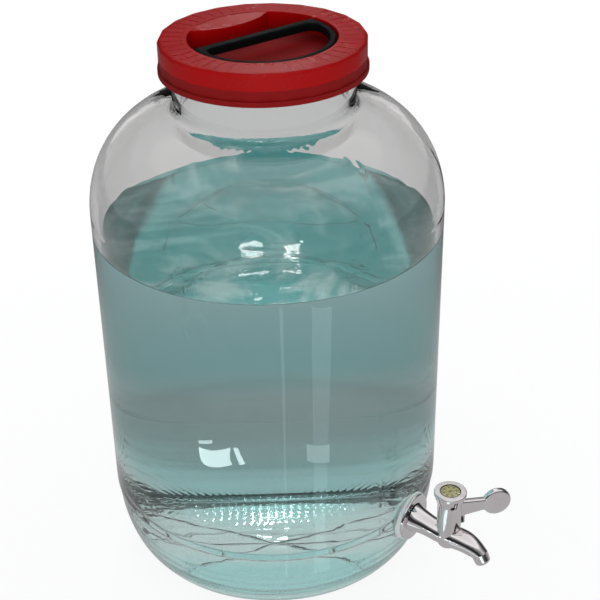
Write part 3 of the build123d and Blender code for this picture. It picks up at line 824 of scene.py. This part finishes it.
@dataclass(frozen=True)
class Plating:
    """Bright nickel-chrome plating over a cast and polished body."""

    name: str
    colour: Colour
    cloud: Colour
    clean: float
    smeared: float
    wave: float = 0.00008

    def build(self) -> bpy.types.Material:
        """Return the metal material."""
        recipe = Recipe(self.name)
        recipe.set(Metallic=1.0)
        tone = recipe.group(
            GROUPS.two_tone(), Colour=self.colour, Cloud=self.cloud, Scale=60.0, Contrast=0.25
        )
        gloss = recipe.group(
            GROUPS.handled_gloss(), Clean=self.clean, Smeared=self.smeared, Scale=110.0
        )
        relief = recipe.group(
            GROUPS.skin_relief(), Wave_Scale=120.0, Wave=self.wave, Grain_Scale=2500.0,
            Grain=0.000002,
        )
        recipe.feed(tone["Colour"], "Base Color")
        recipe.feed(gloss["Roughness"], "Roughness")
        recipe.relief(relief["Height"])
        return recipe.material


@dataclass(frozen=True)
class Rubber:
    """Moulded rubber with a dull, dusty skin."""

    name: str
    colour: Colour
    cloud: Colour
    subsurface: float = 0.0

    def build(self) -> bpy.types.Material:
        """Return the rubber material."""
        recipe = Recipe(self.name)
        recipe.set(Metallic=0.0, IOR=1.5, Subsurface_Weight=self.subsurface, Subsurface_Scale=0.004)
        tone = recipe.group(
            GROUPS.two_tone(), Colour=self.colour, Cloud=self.cloud, Scale=90.0, Contrast=0.3
        )
        gloss = recipe.group(GROUPS.handled_gloss(), Clean=0.5, Smeared=0.75, Scale=70.0)
        relief = recipe.group(
            GROUPS.skin_relief(), Wave_Scale=90.0, Wave=0.0001, Grain_Scale=1600.0, Grain=0.00003
        )
        recipe.feed(tone["Colour"], "Base Color")
        recipe.feed(gloss["Roughness"], "Roughness")
        recipe.relief(relief["Height"])
        return recipe.material


@dataclass(frozen=True)
class IndexDisc:
    """Printed disc in the lever's cap: a pale field, a dark rim and plain tick marks."""

    centre: Place
    radius: float
    field: Colour = (0.36, 0.335, 0.035)
    shade: Colour = (0.15, 0.14, 0.015)
    ink: Colour = (0.035, 0.035, 0.008)
    ticks: int = 8

    def build(self) -> bpy.types.Material:
        """Return the disc's material."""
        recipe = Recipe("index_disc")
        recipe.set(Metallic=0.0, Roughness=0.25, Coat_Weight=0.8, Coat_Roughness=0.05)
        weave = recipe.weave
        math = weave.math
        shift = tuple(-value for value in self.centre)
        centred = weave.add("Mapping", {"Vector": weave.place(), "Location": shift})
        split = weave.add("SeparateXYZ", {0: centred.outputs["Vector"]}).outputs
        x, y = split["X"], split["Y"]
        reach = math("SQRT", math("ADD", math("MULTIPLY", x, x), math("MULTIPLY", y, y)))
        reach = math("DIVIDE", reach, self.radius)
        turn = math("MULTIPLY", math("ARCTAN2", y, x), self.ticks)
        beat = math("GREATER_THAN", math("COSINE", turn), 0.35)
        band = math("MULTIPLY", math("GREATER_THAN", reach, 0.50), math("LESS_THAN", reach, 0.78))
        mark = math("MULTIPLY", beat, band)
        rim = math("GREATER_THAN", reach, 0.86)
        spot = math("LESS_THAN", reach, 0.20)
        ink = math("MINIMUM", math("ADD", math("ADD", mark, rim), spot), 1.0)
        tone = recipe.group(
            GROUPS.two_tone(), Colour=self.field, Cloud=self.shade, Scale=300.0, Contrast=0.2
        )
        recipe.feed(weave.mix(ink, tone["Colour"], self.ink), "Base Color")
        return recipe.material


@dataclass(frozen=True)
class ClearResin:
    """Clear resin poured over a printed disc."""

    def build(self) -> bpy.types.Material:
        """Return the resin material."""
        recipe = Recipe("clear_resin")
        recipe.set(Transmission_Weight=1.0, Roughness=0.02, IOR=1.46, Base_Color=(0.97, 0.97, 0.90))
        relief = recipe.group(
            GROUPS.skin_relief(), Wave_Scale=140.0, Wave=0.0001, Grain_Scale=900.0, Grain=0.000004
        )
        recipe.relief(relief["Height"])
        recipe.let_light_through((0.96, 0.96, 0.93))
        return recipe.material


# ---------------------------------------------------------------- sub-assemblies


@dataclass
class Jar:
    """The glass jar and the water in it. Lengths are in metres."""

    body_radius: float = 0.140
    wall: float = 0.006
    foot_radius: float = 0.102
    heel_height: float = 0.0935
    squareness: float = 2.57
    push_up: float = 0.005
    base_thickness: float = 0.0075
    water_level: float = 0.3010
    meniscus: float = 0.0022
    meniscus_width: float = 0.006
    overlap: float = 0.0003
    base_steps: int = 16
    heel_steps: int = 40
    side_steps: int = 12
    top_steps: int = 8
    turn_steps: int = 180

    def heel(self, step: float) -> tuple[float, float]:
        """Point on the water's side in the heel.

        Args:
            step: From 0 at the base to 1 at the straight wall.

        Returns:
            Radius and height.
        """
        power = 2 / self.squareness
        half_width = self.body_radius - self.foot_radius
        half_height = self.heel_height - self.base_thickness + self.overlap
        angle = step * pi / 2
        return (
            self.foot_radius - self.wall + self.overlap + half_width * sin(angle) ** power,
            self.heel_height - half_height * cos(angle) ** power,
        )

    def water_outline(self) -> list[tuple[float, float]]:
        """Outline of the water from the middle of the base to the middle of its top.

        Returns:
            Points as radius and height.
        """
        side = self.body_radius - self.wall + self.overlap
        start_radius, start_height = self.heel(0)
        rise = self.push_up
        sphere = (start_radius**2 + rise**2) / (2 * rise)
        points = []
        for step in range(self.base_steps + 1):
            radius = start_radius * step / self.base_steps
            drop = sphere - (sphere**2 - radius**2) ** 0.5
            points.append((radius, start_height + rise - drop))
        points += [self.heel(step / self.heel_steps) for step in range(1, self.heel_steps + 1)]
        straight = self.water_level - self.heel_height
        for step in range(1, self.side_steps + 1):
            points.append((side, self.heel_height + straight * step / self.side_steps))
        points.append((side, self.water_level + self.meniscus))
        for step in range(1, self.top_steps + 1):
            share = step / self.top_steps
            height = self.water_level + self.meniscus * (1 - share) ** 3
            points.append((side - self.meniscus_width * share, height))
        flat = side - self.meniscus_width
        for step in range(1, self.top_steps + 1):
            points.append((flat * (1 - step / self.top_steps), self.water_level))
        return points

    def build(self) -> None:
        """Dress the jar and make the water, whose upward faces at its level are its surface."""
        dress("jar", ClearGlass().build())
        water = lathe("water_fill", self.water_outline(), self.turn_steps)
        smooth(water, 60)
        sides = WaterSide().build()
        surface = WaterSurface().build()
        water.data.materials.append(sides)
        water.data.materials.append(surface)
        for face in water.data.polygons:
            if face.center.z > self.water_level - 0.0002 and face.normal.z > 0.2:
                face.material_index = 1
        fit_piece(water, sides, Body.VESSEL, Slot.WATER, ("water",))


@dataclass
class Lid:
    """The screw lid with its soft flutes, its seal and its carrying ring, which is dressed but not made
    to fold.
    """

    recess_floor: float = 0.4403
    groove_floor: float = 0.4535
    groove_rise: float = 0.0005
    flute_inner: float = 0.050
    height_play: float = 0.00012
    pit_depth: float = 0.0009

    def fluted(self) -> bpy.types.Object:
        """Copy the lid and let the floors of its radial grooves rise to shallow flutes.

        Returns:
            The copy, merged, with its grooves shallower.
        """
        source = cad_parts["lid"]
        piece = bpy.data.objects.new("lid_fluted", source.data.copy())
        bpy.context.scene.collection.objects.link(piece)
        piece.matrix_world = source.matrix_world
        pick(piece)
        bpy.ops.object.transform_apply(location=True, rotation=True, scale=True)
        bpy.ops.object.mode_set(mode="EDIT")
        tidy_shell()
        bpy.ops.mesh.select_mode(type="VERT")
        bpy.ops.mesh.select_all(action="DESELECT")
        bpy.ops.object.mode_set(mode="OBJECT")
        for vertex in piece.data.vertices:
            level = abs(vertex.co.z - self.groove_floor) < self.height_play
            vertex.select = level and vertex.co.xy.length > self.flute_inner
        log.info("%d points of the groove floors rise", sum(v.select for v in piece.data.vertices))
        bpy.ops.object.mode_set(mode="EDIT")
        bpy.ops.transform.translate(value=(0, 0, self.groove_rise))
        bpy.ops.mesh.select_all(action="SELECT")
        bpy.ops.mesh.normals_make_consistent(inside=False)
        bpy.ops.object.mode_set(mode="OBJECT")
        bpy.ops.mesh.customdata_custom_splitnormals_clear()
        smooth(piece, 30)
        flats = piece.modifiers.new("flat faces", "WEIGHTED_NORMAL")
        flats.keep_sharp = True
        apply_modifiers(piece)
        return piece

    def build(self) -> None:
        """Dress the lid's nodes and put the fluted copy in the lid's place."""
        red = MouldedPlastic(
            "lid_red", colour=(0.33, 0.0010, 0.0018), cloud=(0.30, 0.0008, 0.0015),
            clean=0.24, smeared=0.29, gloss=0.24, scratch=0.02, wave=0.00003,
            # The recess floor is darkened as painted shade from its walls and the handle.
            shaded_below=self.recess_floor + self.pit_depth, shade_share=0.62,
        ).build()
        black = MouldedPlastic(
            "handle_black", colour=(0.0022, 0.0034, 0.0034), cloud=(0.004, 0.0052, 0.005),
            clean=0.30, smeared=0.35, gloss=0.04, scratch=0.0, wave=0.00003,
        ).build()
        lid = self.fluted()
        lid.data.materials.clear()
        fit_piece(lid, red, Body.SCREW_LID, Slot.LID_RED, ("lid",))
        dress("lid_handle", black)
        dress("lid_seal", Rubber("white_rubber", (0.62, 0.64, 0.64), (0.52, 0.55, 0.55), 0.3).build())


@dataclass
class Tap:
    """The plated tap with its lever, seals and nut."""

    valve_axis: tuple[float, float] = (0.0, -0.176118)
    disc_radius: float = 0.0086
    disc_top: float = 0.1040
    cap_top: float = 0.1045
    dome_inset: float = 0.0003
    dome_lift: float = 0.00002
    dome_clearance: float = 0.00005
    dome_steps: int = 12

    def dome(self) -> bpy.types.Object:
        """Make the clear dome that is poured over the printed disc.

        Returns:
            The dome, a low lens with a flat underside.
        """
        rise = self.cap_top - self.disc_top - self.dome_clearance
        radius = self.disc_radius - self.dome_inset
        outline = [(0.0, 0.0), (radius, 0.0)]
        for step in range(1, self.dome_steps + 1):
            angle = step / self.dome_steps * pi / 2
            outline.append((radius * cos(angle), rise * sin(angle) ** 0.8))
        piece = lathe("disc_dome", outline, 64)
        place_mesh(piece, (*self.valve_axis, self.disc_top + self.dome_lift))
        smooth(piece, 50)
        return piece

    def build(self) -> None:
        """Dress the tap's nodes and add its small pieces."""
        # The plating's pink cast is painted reflection of pinkish surroundings; its grey is the metal's
        # own.
        plated = Plating(
            "plated", colour=(0.86, 0.81, 0.82), cloud=(0.78, 0.735, 0.745), clean=0.05, smeared=0.11
        ).build()
        for node in ("tap_body", "tap_lever", "tap_back_nut"):
            dress(node, plated)
        brass = Plating(
            "plug_brass", colour=(0.72, 0.52, 0.22), cloud=(0.60, 0.42, 0.18), clean=0.22, smeared=0.35
        ).build()
        dress("valve_plug", brass)
        dress("tap_gland", brass)
        dress("lever_screw", Plating(
            "screw_dark", colour=(0.05, 0.05, 0.055), cloud=(0.03, 0.03, 0.03), clean=0.3, smeared=0.45
        ).build())
        gasket = Rubber("gasket_white", (0.66, 0.69, 0.70), (0.58, 0.62, 0.63), 0.4).build()
        dress("tap_outer_gasket", gasket)
        dress("tap_inner_gasket", gasket)
        black = Rubber("seal_black", (0.02, 0.02, 0.02), (0.03, 0.03, 0.03)).build()
        dress("plug_seal_lower", black)
        dress("plug_seal_upper", black)
        dress("tap_slip_washer", MouldedPlastic(
            "washer_white", colour=(0.7, 0.7, 0.68), cloud=(0.62, 0.62, 0.6), clean=0.4, smeared=0.55
        ).build())
        dress("index_button", IndexDisc((*self.valve_axis, 0.0), self.disc_radius).build())
        fit_piece(self.dome(), ClearResin().build(), Body.TAP_VALVE, Slot.BUTTON_YELLOW)


# ---------------------------------------------------------------- studio


@dataclass(frozen=True)
class Panel:
    """A rectangular studio lamp."""

    name: str
    place: Place
    aim: Place
    width: float
    height: float
    power: float
    mirrored: bool = True
    refracted: bool = True
    colour: Colour = (1.0, 1.0, 1.0)

    def build(self) -> None:
        """Add the lamp to the scene."""
        clear_selection()
        bpy.ops.object.light_add(type="AREA", location=self.place)
        lamp = bpy.context.object
        lamp.name = self.name
        lamp.data.shape = "RECTANGLE"
        lamp.data.size = self.width
        lamp.data.size_y = self.height
        lamp.data.energy = self.power
        lamp.data.color = self.colour
        lamp.visible_glossy = self.mirrored
        lamp.visible_transmission = self.mirrored and self.refracted
        away = Vector(self.aim) - Vector(self.place)
        lamp.rotation_euler = away.to_track_quat("-Z", "Y").to_euler()


@dataclass
class Studio:
    """Floor, lamps, surroundings and camera."""

    eye: Place = (-0.762572, -0.574639, 0.789630)
    gaze: Place = (0.70067379, 0.50059097, -0.50839446)
    roll: float = -0.0177
    lens: float = 80.2
    sensor: float = 36.0
    picture: int = 600
    wall_radius: float = 0.140
    floor_size: float = 24.0
    floor_colour: Colour = (0.86, 0.86, 0.86)
    own_light: float = 0.84
    white_reach: tuple[float, float] = (0.9, 2.5)
    sheet_radius: float = 0.32
    sheet_fade: float = 0.35
    mirrored_floor: float = 0.41
    # Painted shadow: the floor's glow for refracted rays, darkest in a ring round the jar.
    painted_shadow_floor: tuple[tuple[float, float], ...] = (
        (0.0, 0.60), (0.13, 0.55), (0.148, 0.48), (0.172, 0.24), (0.255, 0.23), (0.327, 0.31),
        (0.425, 0.375), (0.70, 0.60),
    )
    world_light: Colour = (0.62, 0.63, 0.64)
    mirrored_sky: tuple[tuple[float, float], ...] = (
        (0.0, 0.05), (0.24, 0.02), (0.36, 0.03), (0.44, 0.20), (0.56, 0.25), (0.66, 1.0), (1.0, 0.80),
    )
    lamp_aim: Place = (-0.03, -0.045, 0.301)
    far_reach: float = 4.5
    card_strengths: tuple[float, ...] = (1.3, 1.3, 12.0, 8.0, 12.0, 3.2)
    card_colour: Colour = (0.80, 0.98, 1.0)
    card_lift: float = 0.0004
    card_step: float = 0.0002
    bands: tuple[tuple[tuple[float, float], ...], ...] = (
        ((-0.104, -0.133), (-0.084, -0.146), (-0.325, -0.557), (-0.205, -0.603)),
        ((-0.131, -0.108), (-0.1285, -0.111), (-0.486, -0.431), (-0.470, -0.448)),
    )
    # Where the wall mirrors each pane's corners, in pixels across and down the picture.
    panes: tuple[tuple[tuple[float, float], ...], ...] = (
        ((198, 449), (231, 449), (230.5, 461), (233, 466), (205, 467), (200, 461)),
        ((198, 442), (213, 442), (213, 445.5), (198, 445.5)),
        ((234, 450), (238, 450), (246, 466), (240, 467)),
        ((306, 446), (330, 446), (330, 464), (307, 464)),
    )

    def stance(self) -> Matrix:
        """Give the camera's turn, with its roll."""
        aim = Vector(self.gaze).to_track_quat("-Z", "Y").to_matrix()
        return aim @ Matrix.Rotation(self.roll, 3, "Z")

    def mirrored_at(self, across: float, down: float) -> tuple[float, float]:
        """Find the floor place, to the millimetre, that the wall mirrors at a pixel."""
        eye = Vector(self.eye)
        half = self.picture / 2
        pixel = self.sensor / self.lens / self.picture
        sight = self.stance() @ Vector(((across - half) * pixel, (half - down) * pixel, -1.0))
        sight.normalize()
        # The nearer root is where the line of sight meets the upright wall.
        run = sight.xy.length_squared
        toward = eye.xy.dot(sight.xy)
        gap = eye.xy.length_squared - self.wall_radius**2
        touch = eye + sight * ((-toward - sqrt(toward**2 - run * gap)) / run)
        bounce = sight.reflect(Vector((touch.x, touch.y, 0.0)).normalized())
        spot = touch - bounce * (touch.z / bounce.z)
        return round(spot.x, 3), round(spot.y, 3)

    def floor(self) -> None:
        """Make the pale floor, white to the camera but for the shadow on it; refracted rays see it
        greyer, with a painted shadow ring round the jar.
        """
        clear_selection()
        bpy.ops.mesh.primitive_circle_add(
            vertices=96, radius=self.floor_size / 2, fill_type="NGON", location=(0, 0, -0.0003)
        )
        floor = bpy.context.object
        floor.name = "studio_floor"
        material = bpy.data.materials.new("studio_floor")
        material.use_nodes = True
        tree = material.node_tree
        tree.nodes.remove(tree.nodes["Principled BSDF"])
        weave = Weave(tree)
        diffuse = weave.add("BsdfDiffuse", {"Color": self.floor_colour}).outputs["BSDF"]
        reach = weave.add("VectorMath", {0: weave.place()}, operation="LENGTH").outputs["Value"]
        mirrored = weave.mirrored_only()
        edge = self.sheet_radius + self.sheet_fade
        fade = weave.spread(reach, self.sheet_radius, edge, 0.0, self.mirrored_floor - 0.03, soft=True)
        light = weave.math(
            "SUBTRACT", weave.spread(mirrored, 0.0, 1.0, 1.0, self.mirrored_floor),
            weave.math("MULTIPLY", fade, mirrored),
        )
        path = weave.add("LightPath").outputs
        # Refracted rays see the floor's glow darkened by the painted shadow ring.
        tone = weave.mix(path["Is Transmission Ray"], (1, 1, 1), weave.ramp(reach, self.painted_shadow_floor))
        glow = weave.add("Emission", {"Color": tone, "Strength": light}).outputs["Emission"]
        seen = weave.seen_by("Is Camera Ray", "Is Glossy Ray", "Is Transmission Ray")
        own = weave.spread(reach, *self.white_reach, self.own_light, 1.0, soft=True)
        mix = weave.add("MixShader", {"Fac": weave.math("MULTIPLY", seen, own), 1: diffuse, 2: glow})
        weave.fill(tree.nodes["Material Output"].inputs["Surface"], mix.outputs["Shader"])
        floor.data.materials.append(material)

    def surroundings(self) -> None:
        """Make the world: white to look at, soft to light with, banded in reflections."""
        world = bpy.data.worlds.new("studio")
        bpy.context.scene.world = world
        world.use_nodes = True
        weave = Weave(world.node_tree)
        # A world shader's Generated output is the direction that a ray looks in.
        toward = weave.add("TexCoord").outputs["Generated"]
        height = weave.add("SeparateXYZ", {0: toward}).outputs["Z"]
        seen = weave.seen_by("Is Camera Ray", "Is Transmission Ray")
        first = weave.mix(seen, self.world_light, (1, 1, 1))
        colour = weave.mix(weave.mirrored_only(), first, weave.ramp(height, self.mirrored_sky))
        weave.fill(world.node_tree.nodes["Background"].inputs["Color"], colour)

    def lamps(self) -> None:
        """Add the soft lamps that shape the piece and two small far panels that shine in it."""
        aim = Vector(self.lamp_aim)
        right = aim + Vector((0.7143, 0.5132, 0.499)).normalized() * self.far_reach
        left = aim + Vector((0.6887, 0.5463, 0.501)).normalized() * self.far_reach
        Panel("key_lamp", (2.2, 1.6, 1.75), (0, 0, 0.30), 0.7, 0.7, 62, mirrored=False).build()
        Panel("fill_lamp", (-1.7, -1.3, 0.9), (0, 0, 0.30), 1.2, 1.0, 20, mirrored=False).build()
        Panel("far_panel_right", tuple(right), self.lamp_aim, 0.13, 0.10, 2.4).build()
        Panel("far_panel_left", tuple(left), self.lamp_aim, 0.07, 0.08, 0.9).build()
        Panel("sky_panel", (1.75, 1.25, 2.75), (0, 0, 0.2), 0.30, 0.16, 0.35, refracted=False).build()

    def cards(self) -> None:
        """Lay strips and panes of light on the floor that show only in reflections."""
        panes = [[self.mirrored_at(*corner) for corner in pane] for pane in self.panes]
        shapes = [*self.bands, *panes]
        for index, (corners, strength) in enumerate(zip(shapes, self.card_strengths)):
            glow = bpy.data.materials.new(f"card_glow_{index + 1}")
            glow.use_nodes = True
            tree = glow.node_tree
            tree.nodes.remove(tree.nodes["Principled BSDF"])
            weave = Weave(tree)
            shine = weave.add("Emission", {"Color": self.card_colour, "Strength": strength})
            weave.fill(tree.nodes["Material Output"].inputs["Surface"], shine.outputs["Emission"])
            clear_selection()
            bpy.ops.mesh.primitive_plane_add(size=0.01, location=(0, 0, 0))
            card = bpy.context.object
            card.name = f"floor_card_{index + 1}"
            bpy.ops.object.mode_set(mode="EDIT")
            bpy.ops.mesh.select_all(action="SELECT")
            bpy.ops.mesh.merge(type="CENTER")
            bpy.ops.transform.translate(value=(*corners[0], self.card_lift + self.card_step * index))
            for (x, y), (next_x, next_y) in zip(corners, corners[1:]):
                bpy.ops.mesh.extrude_vertices_move(
                    TRANSFORM_OT_translate={"value": (next_x - x, next_y - y, 0)}
                )
            bpy.ops.mesh.select_all(action="SELECT")
            bpy.ops.mesh.edge_face_add()
            bpy.ops.object.mode_set(mode="OBJECT")
            card.data.materials.append(glow)
            card.visible_camera = False
            card.visible_diffuse = False
            card.visible_transmission = False
            card.visible_shadow = False

    def camera(self) -> None:
        """Add the camera."""
        clear_selection()
        bpy.ops.object.camera_add(location=self.eye)
        camera = bpy.context.object
        camera.data.lens = self.lens
        camera.data.sensor_width = self.sensor
        camera.rotation_euler = self.stance().to_euler()
        bpy.context.scene.camera = camera

    def build(self) -> None:
        """Set up the whole studio."""
        bpy.context.scene.view_settings.view_transform = "Standard"
        self.floor()
        self.surroundings()
        self.lamps()
        self.cards()
        self.camera()


def main() -> None:
    """Build the sub-assemblies and the studio in order."""
    logging.basicConfig(level=logging.INFO, format="%(name)s: %(message)s")
    for assembly in (Jar(), Lid(), Tap(), Studio()):
        log.info("building %s", type(assembly).__name__)
        assembly.build()


if __name__ == "__main__":
    main()
